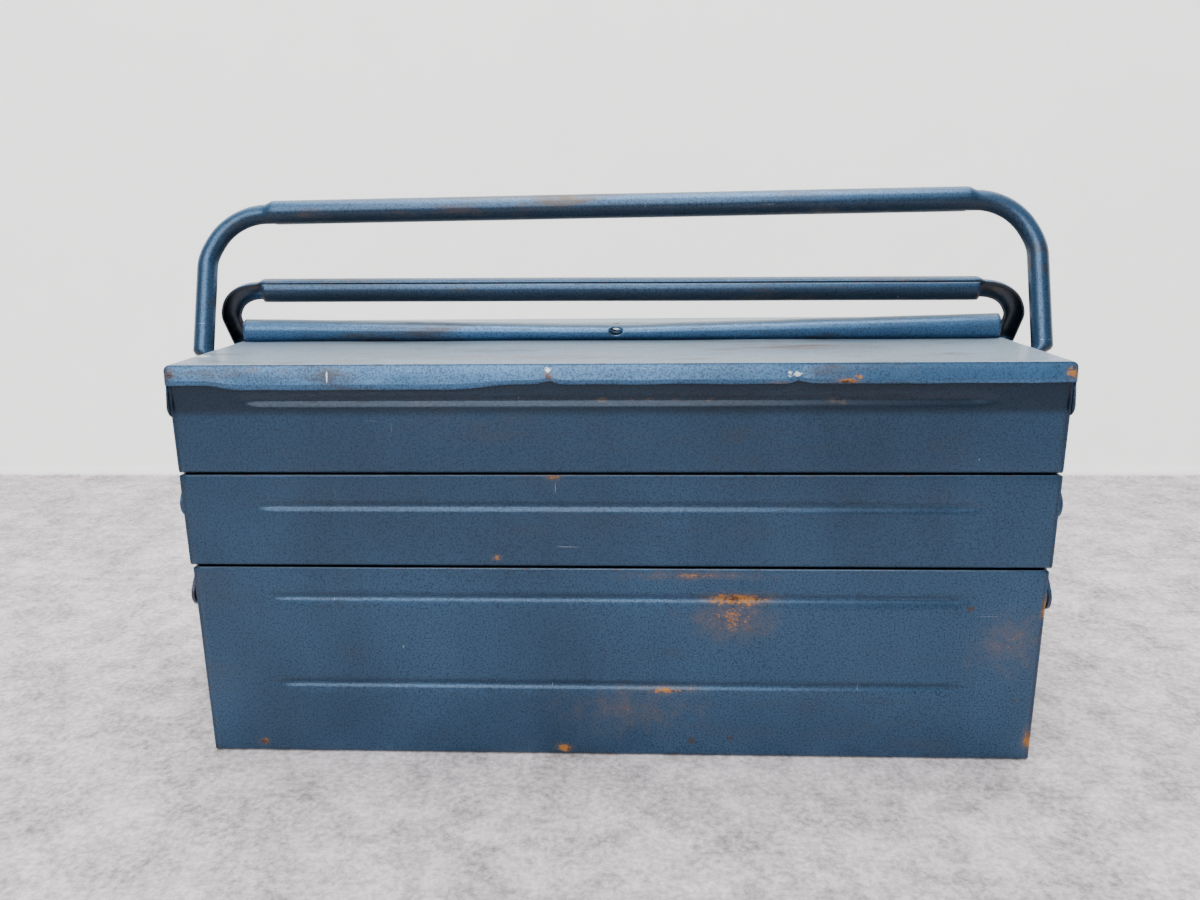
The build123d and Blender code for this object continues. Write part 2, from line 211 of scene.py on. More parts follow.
def slow_tone(tree, place, brighten):
    """Broad patches and faint upright streaks, about the value of brighten."""
    patches = speckle(tree, place, patch_scale, detail=3)
    streaks = speckle(tree, place, streak_scale, detail=3, stretch=(1, 1, 0.22))
    patches = ramp(tree, patches, 0.3, 0.7, 0.86, 1.08)
    tone = maths(tree, "ADD", patches, ramp(tree, streaks, 0.3, 0.7, -0.07, 0.07))
    return maths(tree, "MULTIPLY", tone, brighten)


def shaded_tone(tree, place, facing, tone, lip_shade_below, lip_shadow_above, underside_shade):
    """The tone with its painted shade: a lid lip's darker lower edge, the painted shadow under a lip, a
    grip's darker underside.
    """
    height = add_node(tree, "ShaderNodeSeparateXYZ", {0: place}).outputs[2]
    # Painted shade: darker below the given height, on the lid's hinge tabs and the lowest edge of its lip.
    if lip_shade_below is not None:
        shade = ramp(tree, height, lip_shade_below - lip_edge_depth, lip_shade_below, lip_edge_shade, 1.0)
        tone = maths(tree, "MULTIPLY", tone, shade)
    # Painted shadow under the lid's lip: darker upwards from the given height.
    if lip_shadow_above is not None:
        shade = ramp(tree, height, lip_shadow_above, lip_shadow_above + lip_shadow_reach, 1.0, lip_shadow_darkest)
        tone = maths(tree, "MULTIPLY", tone, shade)
    # Painted shade: faces that look down are darkened, on the grips' undersides.
    if underside_shade:
        tone = maths(tree, "MULTIPLY", tone, ramp(tree, facing, 0.8, -0.5, 1.0, 1.0 - underside_shade))
    return tone


# %% [markdown]
# ## Dust, dirt and scratches
# Dust lies on what faces up and drifts along the box; greasy smears follow the way the box is wiped;
# scratches run level or upright, pale where they only bruise the paint; and chips show old dark rust.
# Each is a noise cut off high in its range, so that it is rare and has its own shape.

# %% Dust, dirt and scratches
drift_scale = 38
smear_scale = 55
level_scratch_scale = 60
upright_scratch_scale = 50
speck_scale = 170
chip_scale = 90
scratch_strength = 0.35
speck_strength = 0.5
chip_strength = 0.8


def dusty_mask(tree, place, facing, dust):
    """How much dust lies here, on faces that look up."""
    dusty = maths(tree, "MULTIPLY", ramp(tree, facing, 0.75, 0.98), dust)
    drift = speckle(tree, place, drift_scale, detail=5, stretch=(0.35, 1, 1), roughness=0.7)
    return maths(tree, "MULTIPLY", dusty, ramp(tree, drift, 0.22, 0.6, 0.55, 1.0))


def smeared(tree, place, colour, grime):
    """Brown smears drawn out along the box."""
    smears = speckle(tree, place, smear_scale, detail=6, stretch=(0.25, 1, 1), roughness=0.72)
    dirty = maths(tree, "MULTIPLY", ramp(tree, smears, 0.53, 0.72), grime)
    return mix_colour(tree, dirty, colour, grime_and_shade_brown)


def scratched(tree, place, colour):
    """Level and upright scratches, pale specks and dark chips."""
    level = speckle(tree, place, level_scratch_scale, detail=1, stretch=(0.5, 9, 14))
    upright = speckle(tree, place, upright_scratch_scale, detail=1, stretch=(16, 9, 0.6))
    lines = maths(tree, "MAXIMUM", ramp(tree, level, 0.77, 0.82), ramp(tree, upright, 0.79, 0.84))
    colour = mix_colour(tree, maths(tree, "MULTIPLY", lines, scratch_strength), colour, scratch_pale)
    specks = ramp(tree, speckle(tree, place, speck_scale, detail=2), 0.78, 0.83)
    colour = mix_colour(tree, maths(tree, "MULTIPLY", specks, speck_strength), colour, scratch_pale)
    chips = ramp(tree, speckle(tree, place, chip_scale, detail=4, roughness=0.65), 0.73, 0.76)
    return mix_colour(tree, maths(tree, "MULTIPLY", chips, chip_strength), colour, rust_dark)


# %% [markdown]
# ## Worn edges, rust and bare metal
# Paint goes first from the edges. A Bevel node's rounded normal differs from the true one only near an
# edge, so their dot product finds the edges without any painting. Rust and bare metal are placed as listed
# blobs, and a noise is added before the cut-off, so each patch gets a ragged outline of its own.

# %% Worn edges and stains
edge_reach = 1.6 * mm
broken_edge_scale = 130
grain_scale = 900
cloud_scale = 120
edge_strength = 0.85
edge_rust = 0.3
# How dark the dark stains get, whether dirt or painted shade.
dirt_and_shade_strength = 0.8
haze_strength = 0.45


def worn_mask(tree, place, edge_wear):
    """1 where the paint has gone from an edge."""
    rounded = add_node(tree, "ShaderNodeBevel", {"Radius": edge_reach}, samples=2)
    normal = add_node(tree, "ShaderNodeNewGeometry").outputs["Normal"]
    flatness = add_node(
        tree, "ShaderNodeVectorMath", {0: rounded.outputs[0], 1: normal}, operation="DOT_PRODUCT"
    ).outputs["Value"]
    broken = speckle(tree, place, broken_edge_scale, detail=5, roughness=0.7)
    start = 0.66 - 0.2 * edge_wear
    broken = ramp(tree, broken, start, start + 0.06)
    return maths(tree, "MULTIPLY", ramp(tree, flatness, 0.985, 0.80), broken)


def stain_mask(tree, place, stains):
    """The strongest of several blobs at each point."""
    mask = None
    for centre, size, strength in stains:
        one = maths(tree, "MULTIPLY", blob(tree, place, centre, size), strength)
        mask = one if mask is None else maths(tree, "MAXIMUM", mask, one)
    return mask


def ragged(tree, spread, ground, low, high):
    """A spread of stains with the outline of the noise in ground."""
    return ramp(tree, maths(tree, "ADD", spread, ground), low, high)


def rusted(tree, place, colour, rust, grains, clouds):
    """Brown haze round each patch, then rust that is dark or orange. Gives the colour and the rust mask."""
    spread = stain_mask(tree, place, rust)
    fine = maths(tree, "MULTIPLY", grains, 0.75)
    mixed = maths(tree, "ADD", fine, maths(tree, "MULTIPLY", clouds, 0.25))
    haze = maths(tree, "MULTIPLY", ragged(tree, spread, clouds, 0.6, 1.2), haze_strength)
    colour = mix_colour(tree, haze, colour, haze_brown)
    shown = ragged(tree, spread, mixed, 1.0, 1.06)
    shade = mix_colour(tree, ramp(tree, clouds, 0.40, 0.52), rust_dark, rust_orange)
    return mix_colour(tree, shown, colour, shade), shown


# %% [markdown]
# ## The whole finish
# The layers go on in the order in which they came to the real box. Roughness follows them: pits are
# rougher than flake, dust and rust rougher still. One fine bump carries the pits and the rust's grain;
# it is under a tenth of a millimetre, as it is on the metal, so no outline needs it.

# %% The paint
relief_depth = 0.08 * mm


def hammertone(
    name,
    dust=0.35,
    edge_wear=0.5,
    grime=0.15,
    rust=(),
    bare=(),
    dark=(),
    brighten=1.0,
    lip_shade_below=None,
    lip_shadow_above=None,
    underside_shade=0.0,
):
    """Blue hammertone paint with its own places of rust, bare metal, dark dirt and painted shade."""
    material = bpy.data.materials.new(name)
    material.use_nodes = True
    tree = material.node_tree
    shader = tree.nodes["Principled BSDF"]
    shader.inputs["Metallic"].default_value = paint_metallic
    shader.inputs["Coat Weight"].default_value = paint_coat
    shader.inputs["Coat Roughness"].default_value = coat_roughness
    coordinates = add_node(tree, "ShaderNodeTexCoord")
    place = coordinates.outputs["Object"]
    facing = add_node(tree, "ShaderNodeSeparateXYZ", {0: coordinates.outputs["Normal"]}).outputs[2]

    flake, pits = hammered_flake(tree, place)
    tone = slow_tone(tree, place, brighten)
    tone = shaded_tone(tree, place, facing, tone, lip_shade_below, lip_shadow_above, underside_shade)
    colour = mix_colour(tree, flake, pit_blue, flake_blue)
    scaled = add_node(tree, "ShaderNodeVectorMath", {0: colour, "Scale": tone}, operation="SCALE")
    colour = scaled.outputs[0]

    dusty = dusty_mask(tree, place, facing, dust)
    colour = mix_colour(tree, dusty, colour, dust_grey)
    colour = smeared(tree, place, colour, grime)
    colour = scratched(tree, place, colour)
    worn = worn_mask(tree, place, edge_wear)
    colour = mix_colour(tree, maths(tree, "MULTIPLY", worn, edge_strength), colour, rust_dark)

    grains = speckle(tree, place, grain_scale, detail=3, stretch=(0.7, 1, 1.4), roughness=0.7)
    clouds = speckle(tree, place, cloud_scale, detail=4, roughness=0.7)
    rusty = maths(tree, "MULTIPLY", worn, edge_rust)
    # Dark stains: dirt in some places, and painted shade in long strips under a lip, along a seam and at the
    # foot.
    if dark:
        shown = ragged(tree, stain_mask(tree, place, dark), clouds, 0.98, 1.08)
        colour = mix_colour(tree, maths(tree, "MULTIPLY", shown, dirt_and_shade_strength), colour, grime_and_shade_brown)
    if rust:
        colour, shown = rusted(tree, place, colour, rust, grains, clouds)
        rusty = maths(tree, "MAXIMUM", rusty, shown)
    if bare:
        shown = ragged(tree, stain_mask(tree, place, bare), clouds, 1.02, 1.07)
        colour = mix_colour(tree, shown, colour, bare_steel)
    tree.links.new(colour, shader.inputs["Base Color"])

    roughness = ramp(tree, pits, 0.3, 0.7, 0.42, 0.30)
    roughness = maths(tree, "ADD", roughness, maths(tree, "MULTIPLY", dusty, 0.45))
    roughness = maths(tree, "ADD", roughness, maths(tree, "MULTIPLY", rusty, 0.4), clamp=True)
    tree.links.new(roughness, shader.inputs["Roughness"])

    rust_relief = maths(tree, "MULTIPLY", grains, rusty)
    surface = maths(tree, "ADD", maths(tree, "MULTIPLY", flake, 0.6), rust_relief)
    relief = add_node(tree, "ShaderNodeBump", {"Height": surface, "Distance": relief_depth, "Strength": 0.8})
    tree.links.new(relief.outputs[0], shader.inputs["Normal"])
    return material


# %% [markdown]
# ## Rivet steel
# The rivets and washers were bright once and are now dull, with brown in every corner. Brushed steel
# would be a stretched noise, but a closed rivet head has no brushing, only small hammer marks and rust.

# %% Steel


def dull_steel(name, rust_amount):
    """Old plated steel: grey, finely mottled, browned by an amount from 0 to 1."""
    material = bpy.data.materials.new(name)
    material.use_nodes = True
    tree = material.node_tree
    shader = tree.nodes["Principled BSDF"]
    shader.inputs["Metallic"].default_value = 0.85
    place = add_node(tree, "ShaderNodeTexCoord").outputs["Object"]
    mottle = speckle(tree, place, 700, detail=4)
    patches = speckle(tree, place, 240, detail=5, roughness=0.7)
    colour = mix_colour(tree, ramp(tree, mottle, 0.3, 0.7), (0.20, 0.19, 0.18, 1), (0.42, 0.41, 0.39, 1))
    browned = maths(tree, "MULTIPLY", ramp(tree, patches, 0.40, 0.62), rust_amount)
    colour = mix_colour(tree, browned, colour, rust_dark)
    tree.links.new(colour, shader.inputs["Base Color"])
    tree.links.new(ramp(tree, patches, 0.3, 0.65, 0.32, 0.7), shader.inputs["Roughness"])
    relief = add_node(tree, "ShaderNodeBump", {"Height": mottle, "Distance": 0.05 * mm, "Strength": 0.7})
    tree.links.new(relief.outputs[0], shader.inputs["Normal"])
    return material


rivet_steel = dull_steel("rivet_steel", 0.7)
washer_steel = dull_steel("washer_steel", 0.9)

# %% [markdown]
# ## One finish for each piece
# The same paint has aged differently everywhere: the base has sat in wet grass, the lids have been stood
# on, the handles are worn by hands. The lids and handles are also brightened as a painted highlight, and
# the long dark strips are painted shade: along the foot of the base, in the seam between tiers and under
# the lid's lip. Each stain is a centre, a reach along X, Y and Z, and a strength, in millimetres. It shows
# where its strength and a noise together pass about 1, so 0.4 leaves a few flecks and 0.8 a solid patch.

# %% Finishes
base_rust = [
    ((62, -100, 88), (44, 12, 9), 0.64),
    ((60, -100, 78), (44, 12, 26), 0.50),
    ((40, -100, 101), (75, 12, 5), 0.50),
    ((26, -100, 38), (40, 12, 6), 0.53),
    ((10, -100, 26), (70, 12, 26), 0.40),
    ((-26, -100, 4), (11, 12, 6), 0.66),
    ((-186, -100, 6), (8, 12, 5), 0.62),
    ((198, -100, 66), (36, 12, 34), 0.42),
    ((213, -100, 84), (5, 12, 16), 0.60),
    ((212, -100, 12), (8, 12, 16), 0.60),
    ((0, 100, 30), (150, 12, 24), 0.42),
    ((-90, 100, 88), (40, 12, 10), 0.52),
]
base_dark = [
    ((177, -100, 84), (6, 12, 5), 0.66),
    ((203, -100, 34), (5, 12, 5), 0.64),
    ((60, -100, 11), (6, 12, 5), 0.64),
    ((40, -100, 9), (6, 12, 6), 0.62),
    # Painted shade: a dark strip along the foot of the base, where it meets the floor.
    ((0, -100, 1), (260, 14, 3), 0.5),
]
middle_rust = [((-29, -100, 152), (10, 8, 4), 0.6), ((-58, -100, 110), (6, 8, 4), 0.58)]
# Painted shade: a dark strip along the middle trays' rims, in the seam under the upper trays.
middle_dark = [((0, -100, 151), (215, 8, 3), 0.4)]
# Painted shadow: dark strips under the lid's lip across the upper trays.
upper_dark = [((0, -100, 190), (215, 8, 4), 0.47), ((110, -100, 189), (60, 8, 6), 0.5)]
lid_rust = [
    ((-213, -102, 203), (9, 6, 9), 0.62),
    ((213, -102, 203), (9, 6, 9), 0.64),
    ((-171, -102, 205), (9, 4, 4), 0.64),
    ((-157, -102, 205), (7, 4, 4), 0.66),
    ((-100, -102, 206), (14, 4, 3), 0.5),
    ((-30, -102, 202), (6, 6, 8), 0.62),
    ((84, -102, 197), (32, 6, 4), 0.62),
    ((110, -102, 199), (14, 6, 4), 0.64),
    ((115, -102, 201), (5, 4, 4), 0.6),
    ((100, -45, 207), (110, 30, 3), 0.46),
    ((-60, -75, 207), (120, 16, 3), 0.44),
    ((-128, -86, 207), (34, 10, 3), 0.5),
]
lid_bare = [
    ((-30, -102, 205), (8, 6, 6), 0.78),
    ((85, -102, 203), (9, 6, 7), 0.74),
    ((-136, -102, 202), (1.2, 6, 7), 0.85),
    ((-209, -70, 207.5), (8, 7, 2), 0.85),
]
handle_rust = [
    ((-60, 0, 286), (120, 12, 6), 0.50),
    ((120, 0, 275), (90, 12, 7), 0.50),
    ((-195, 0, 241), (16, 12, 6), 0.62),
    ((-150, 0, 240), (70, 12, 5), 0.50),
    ((150, 0, 240), (90, 12, 5), 0.50),
    ((0, 0, 232), (120, 12, 6), 0.46),
]
base_paint = hammertone("base_paint", dust=0.4, grime=0.2, rust=base_rust, dark=base_dark, brighten=1.05)
middle_paint = hammertone(
    "middle_paint", dust=0.4, grime=0.18, rust=middle_rust, dark=middle_dark, brighten=0.92
)
# The upper trays get a painted shadow under the lid's lip, and their long dark strips are painted shade too.
upper_paint = hammertone(
    "upper_paint", dust=0.4, grime=0.25, dark=upper_dark, brighten=0.88, lip_shadow_above=181 * mm
)
# The lid paint is brightened about twice over the trays' as a painted highlight for the light that the lid's
# top and tilted lip catch, and its hinge tabs get painted shade.
lid_paint = hammertone(
    "lid_paint",
    dust=0.55,
    edge_wear=0.6,
    grime=0.75,
    rust=lid_rust,
    bare=lid_bare,
    brighten=1.95,
    lip_shade_below=195 * mm,
)
# The rear lid is brightened in the same way, as a painted highlight.
rear_lid_paint = hammertone("rear_lid_paint", dust=0.75, edge_wear=0.6, grime=0.45, brighten=1.8)
# The handle paint is brightened as a painted highlight for the light on the grips' tops, and its downward
# faces get painted shade.
handle_paint = hammertone(
    "handle_paint",
    dust=0.2,
    edge_wear=0.7,
    grime=1.0,
    rust=handle_rust,
    brighten=1.55,
    underside_shade=0.8,
)
arm_paint = hammertone("arm_paint", dust=0.3, edge_wear=0.9, grime=0.5)


def finish_for(node_name):
    """The finish of a piece, by its name."""
    if "rivets" in node_name:
        return rivet_steel
    if "washers" in node_name or "spacers" in node_name:
        return washer_steel
    if "arm_" in node_name:
        return arm_paint
    if "handle" in node_name:
        return handle_paint
    if "middle" in node_name:
        return middle_paint
    if "upper" in node_name:
        return upper_paint
    if node_name == "front_lid":
        return lid_paint
    if node_name == "rear_lid":
        return rear_lid_paint
    return base_paint


for node_name, solid in frame["nodes"].items():
    solid.data.materials.clear()
    solid.data.materials.append(finish_for(node_name))
print("finishes on", len(frame["nodes"]), "pieces")

# %% [markdown]
# ## Making a piece from a bmesh
# Each pressed piece is drawn as one surface, the outside of the sheet, and a Solidify modifier gives it
# the sheet's thickness, as a press does. The helper puts the finished mesh in the scene with its finish,
# hides the solid it stands for, and makes it ride on that solid's body. Rivet places come from the packed
# model's own joints, so a hinge tab or a handle's foot can't drift away from its rivet.

# %% Piece helpers
sheet = 0.8 * mm


def body_of_node(node_name):
    """The body that a CAD node belongs to."""
    bodies = frame["record"]["behaviour"]["bodies"]
    return next(body for body, nodes in bodies.items() if node_name in nodes)


def joint_place(joint_name):
    """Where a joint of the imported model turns."""
    joints = frame["record"]["behaviour"]["joints"]
    return Vector(next(joint["pos_m"] for joint in joints if joint["name"] == joint_name))


def pressed_piece(bm, node_name, thickness=sheet):
    """A sheet-metal piece from its outer surface, in place of a CAD node."""
    mesh = bpy.data.meshes.new(node_name + "_sheet")
    bm.to_mesh(mesh)
    bm.free()
    mesh.shade_smooth()
    mesh.set_sharp_from_angle(angle=math.radians(40))
    mesh.materials.append(finish_for(node_name))
    piece = bpy.data.objects.new(node_name + "_sheet", mesh)
    bpy.context.scene.collection.objects.link(piece)
    skin = piece.modifiers.new("thickness", "SOLIDIFY")
    skin.thickness = thickness
    skin.offset = -1
    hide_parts(node_name)
    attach(piece, body_of_node(node_name))
    print(piece.name, len(mesh.polygons), "faces")
    return piece


def smooth_step(low, high, value):
    """0 up to low, 1 from high, and smooth between."""
    t = min(max((value - low) / (high - low), 0), 1)
    return t * t * (3 - 2 * t)


def bump_at(value, centre, width):
    """A bell of height 1 at centre."""
    return math.exp(-(((value - centre) / width) ** 2))


def arc_points(centre, radius, start, end, steps):
    """Points on an arc in the YZ plane, from angle start to angle end in degrees."""
    angles = [math.radians(start + (end - start) * i / steps) for i in range(steps + 1)]
    return [(centre[0] + radius * math.cos(a), centre[1] + radius * math.sin(a)) for a in angles]


# %% [markdown]
# ## Sweeping, slicing and cutting
# Three small tools shape all the sheet metal. A profile in the YZ plane is swept along the box by a spin
# with no angle, only a step along X. A mesh is sliced where it has to bend. And a hole is cut by taking
# out the faces inside it and pulling the edge that is left onto the hole's outline, which keeps the
# mesh clean where a Boolean would leave slivers.

# %% Sheet tools


def swept_along_x(bm, outline, half_length, steps):
    """Sweeps an outline in the YZ plane along X, and gives back the new faces."""
    before = set(bm.faces)
    verts = [bm.verts.new((-half_length, y, z)) for y, z in outline]
    edges = [bm.edges.new(pair) for pair in zip(verts, verts[1:])]
    step = Vector((2 * half_length / steps, 0, 0))
    bmesh.ops.spin(bm, geom=verts + edges, cent=(0, 0, 0), axis=(1, 0, 0), dvec=step, angle=0, steps=steps)
    bm.normal_update()
    return [face for face in bm.faces if face not in before]


def facing(bm, faces, direction, pick):
    """Turns faces over if the one that pick finds doesn't look along direction."""
    chosen = pick(faces)
    if chosen.normal.dot(Vector(direction)) < 0:
        bmesh.ops.reverse_faces(bm, faces=faces)
        bm.normal_update()


def lowest(faces):
    """The lowest face."""
    return min(faces, key=lambda face: face.calc_center_median().z)


def highest(faces):
    """The highest face."""
    return max(faces, key=lambda face: face.calc_center_median().z)


def slice_bm(bm, direction, places):
    """Cuts the mesh across direction at each place, keeping both sides."""
    for place in places:
        geometry = bm.verts[:] + bm.edges[:] + bm.faces[:]
        bmesh.ops.bisect_plane(bm, geom=geometry, plane_co=direction * place, plane_no=direction)


def spaced(low, high, step):
    """Places between low and high, evenly spaced, with neither end."""
    count = max(int((high - low) / step), 1)
    return [low + (high - low) * i / count for i in range(1, count)]


# %% [markdown]
# ## The folded trays
# A tray's front, floor and back are one sheet, bent twice, with the top edges hemmed: folded over flat so
# that nobody is cut. The stiffening grooves are pressed before folding, and they are soft, with no edge.
# A Boolean cut would leave a hard line, so the fold's outline is drawn once and swept, and the points
# near a groove are pushed in by a smooth bell that fades out at the groove's ends.

# %% Folded trays
fold_radius = 2.5 * mm
hem_height = 6 * mm
hem_radius = sheet + 0.05 * mm
groove_depth = 1.4 * mm
groove_width = 1.9 * mm
groove_margin = 32 * mm
groove_fade = 14 * mm
groove_below_rim = (16 * mm, 64 * mm)
groove_reach = 3.2 * groove_width
lowest_groove = 15 * mm
wall_unevenness = 0.22 * mm
uneven_per_metre = (14, 22)
held_flat = 20 * mm
sweep_steps = 150
fine_step = 0.8 * mm
coarse_step = 5.0 * mm


def wall_levels(low, high, grooves):
    """Heights up a wall, close together where a groove crosses it."""
    levels = [low]
    while levels[-1] < high - coarse_step:
        near = any(abs(levels[-1] + fine_step - groove) < groove_reach for groove in grooves)
        levels.append(levels[-1] + (fine_step if near else coarse_step))
    return levels[1:]


def tray_outline(front, back, floor, rim, grooves):
    """The outside of the folded sheet in the YZ plane, from hem to hem."""
    levels = wall_levels(floor + fold_radius, rim - hem_radius, grooves)
    outline = [(front + 2 * hem_radius, rim - hem_height)]
    outline += arc_points((front + hem_radius, rim - hem_radius), hem_radius, 0, 180, 6)
    outline += [(front, z) for z in reversed(levels)]
    outline += arc_points((front + fold_radius, floor + fold_radius), fold_radius, 180, 270, 5)
    outline += arc_points((back - fold_radius, floor + fold_radius), fold_radius, 270, 360, 5)
    outline += [(back, z) for z in levels]
    outline += arc_points((back - hem_radius, rim - hem_radius), hem_radius, 0, 180, 6)
    outline.append((back - 2 * hem_radius, rim - hem_height))
    return outline


def press_grooves(bm, wall, inwards, grooves, half_length):
    """Pushes the grooves and a little unevenness into the wall at y = wall."""
    end = half_length + sheet - groove_margin
    for vert in bm.verts:
        x, y, z = vert.co
        if abs(y - wall) > 0.01 * mm:
            continue
        along = smooth_step(end, end - groove_fade, abs(x))
        deep = max(bump_at(z, groove, groove_width) for groove in grooves)
        uneven = 0.5 + 0.5 * noise.noise(Vector((x * uneven_per_metre[0], wall, z * uneven_per_metre[1])))
        held = smooth_step(half_length, half_length - held_flat, abs(x))
        vert.co.y += inwards * (groove_depth * along * deep + wall_unevenness * uneven * held)


def folded_tray(node_name, grooved_front, grooved_back):
    """One tray's folded sheet, sized by the CAD node."""
    low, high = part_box(node_name)
    front, back, floor, rim = low.y, high.y, low.z, high.z
    half_length = high.x
    grooves = [rim - below for below in groove_below_rim if rim - below > floor + lowest_groove]
    bm = bmesh.new()
    faces = swept_along_x(bm, tray_outline(front, back, floor, rim, grooves), half_length, sweep_steps)
    facing(bm, faces, (0, 0, -1), lowest)
    if grooved_front:
        press_grooves(bm, front, 1, grooves, half_length)
    if grooved_back:
        press_grooves(bm, back, -1, grooves, half_length)
    return pressed_piece(bm, node_name)


folded_tray("base_tray", True, True)
for tier in ("middle", "upper"):
    folded_tray(f"front_{tier}_tray", True, False)
    folded_tray(f"rear_{tier}_tray", False, True)

# %% [markdown]
# ## The lids
# A lid is a shallow pressed cover with rolled edges on three sides. Along the centre edge the sheet turns
# up, over and down into a hollow ridge, which stiffens it and holds the padlock. The cover starts as a
# block with two faces taken away and its edges bevelled, then it is sliced into strips so that it can be
# dented; the ridge is swept. A tab at each end carries the hinge rivet.

# %% Lid shells
lid_edge_radius = 3 * mm
lip_height = 9.5 * mm
ridge_width = 13.8 * mm
ridge_margin = 3.9 * mm
ridge_tuck = 2.4 * mm
ridge_height = 13 * mm
ridge_steps = 270
strip_margin = 3.1 * mm
strips = (3.2 * mm, 6 * mm, 2.1 * mm)
ear_radius = 6 * mm
ear_root = (3.2 * mm, 25 * mm)


def lid_cover(low, high, ridge_foot, top):
    """The top, the front lip and the end lips, as one open shell facing outwards."""
    size = Vector((high.x - low.x, ridge_foot - low.y, lip_height))
    centre = Vector((0, (low.y + ridge_foot) / 2, top - lip_height / 2))
    bm = bmesh.new()
    place = Matrix.Translation(centre) @ Matrix.Diagonal(size.to_4d())
    bmesh.ops.create_cube(bm, size=1, matrix=place)
    bm.normal_update()
    open_faces = [f for f in bm.faces if f.normal.z < -0.9 or f.normal.y > 0.9]
    bmesh.ops.delete(bm, geom=open_faces, context="FACES")
    rolled = [e for e in bm.edges if len(e.link_faces) == 2]
    bmesh.ops.bevel(
        bm, geom=rolled, offset=lid_edge_radius, affect="EDGES", segments=5, profile=0.5, material=-1
    )
    slice_bm(bm, Vector((1, 0, 0)), spaced(low.x + strip_margin, high.x - strip_margin, strips[0]))
    slice_bm(bm, Vector((0, 1, 0)), spaced(low.y + strip_margin, ridge_foot, strips[1]))
    slice_bm(bm, Vector((0, 0, 1)), spaced(top - lip_height, top - lid_edge_radius, strips[2]))
    return bm


def add_ridge(bm, foot, inner, top, crown, half_length):
    """The rolled ridge, from the lid's top up, over and down beside the centre plane."""
    radius = (inner - foot) / 2
    shoulder = crown - radius
    shares = [i / 8 for i in range(8)]
    rise = shoulder - top + sheet
    wall = [(ridge_tuck * (1 - share) ** 2, top - sheet + rise * share) for share in shares]
    outline = [(foot + tuck, z) for tuck, z in wall]
    outline += arc_points(((foot + inner) / 2, shoulder), radius, 180, 0, 18)
    outline += [(inner - tuck, z) for tuck, z in reversed(wall)]
    faces = swept_along_x(bm, outline, half_length, ridge_steps)
    facing(bm, faces, (0, 0, 1), highest)


def add_ears(bm, hinge_y, hinge_z, low_y, lip_bottom, half_length):
    """A hinge tab hanging from each end lip, tapering to a round end about the rivet."""
    for side in (-1, 1):
        outline = arc_points((hinge_y, hinge_z), ear_radius, 180, 360, 14)
        outline = [(low_y + ear_root[0], lip_bottom)] + outline + [(low_y + ear_root[1], lip_bottom)]
        face = bm.faces.new([bm.verts.new((side * half_length, y, z)) for y, z in outline])
        face.normal_update()
        if face.normal.x * side < 0:
            face.normal_flip()


def round_hole(bm, centre, radii, reach):
    """Cuts an oval hole along Y, by removing faces and pulling the edge left onto the oval."""
    inside = []
    for face in bm.faces:
        middle = face.calc_center_median()
        if abs(middle.y - centre.y) > reach:
            continue
        if math.hypot((middle.x - centre.x) / radii[0], (middle.z - centre.z) / radii[1]) < 1:
            inside.append(face)
    edges = {edge for face in inside for edge in face.edges}
    outer = [edge for edge in edges if any(face not in inside for face in edge.link_faces)]
    rim = {vert for edge in outer for vert in edge.verts}
    bmesh.ops.delete(bm, geom=inside, context="FACES")
    for vert in rim:
        if vert.is_valid:
            across = Vector((vert.co.x - centre.x, 0, vert.co.z - centre.z))
            size = math.hypot(across.x / radii[0], across.z / radii[1])
            vert.co.x = centre.x + across.x / size
            vert.co.z = centre.z + across.z / size


# %% [markdown]
# ## Dents in the lids
# A lid gets knocked where it meets other tools. On the front lid the lip has been pushed out at the
# bottom all the way along, hangs a little on the left, and has two sharp kinks; the ridge has sunk into a
# shallow V where the padlock pulled on it. The rear lid is only a little uneven. Each dent is a small
# formula on the height and place of the point, so the same sheet can be dented in other ways.

# %% Lid dents
lip_flare = 2.4 * mm
flare_reach = 3.2 * mm
lip_kinks = ((-30 * mm, 1.6 * mm), (87.6 * mm, 1.5 * mm))
ridge_sag = 4.9 * mm
padlock_hole_radii = (3.4 * mm, 2.5 * mm)
padlock_hole_height = 4.7 * mm
left_hang = 2.4 * mm
hang_start = (-195 * mm, -178 * mm)
hang_end = (-48 * mm, -75 * mm)
lip_wave = 0.5 * mm
lip_ripple = 0.25 * mm
kink_width = 3.2 * mm
kink_push = 0.55
firm_border = 15 * mm
rear_ridge_slack = 5.4 * mm


def front_ridge_drop(x, half_length):
    """How far the front ridge's crown has sunk at x, deepest in the middle."""
    left = 0.7 * mm if x < 0 else 0.0
    across = min(abs(x) / half_length, 1.0)
    return left * across + ridge_sag * (1 - across) + 0.2 * mm * noise.noise(Vector((x * 40, 0, 0)))


def inside_border(x, y, low, high):
    """0 at the lid's front and end edges, 1 once firm_border inside them."""
    from_front = smooth_step(low.y, low.y + firm_border, y)
    return from_front * smooth_step(high.x, high.x - firm_border, abs(x))


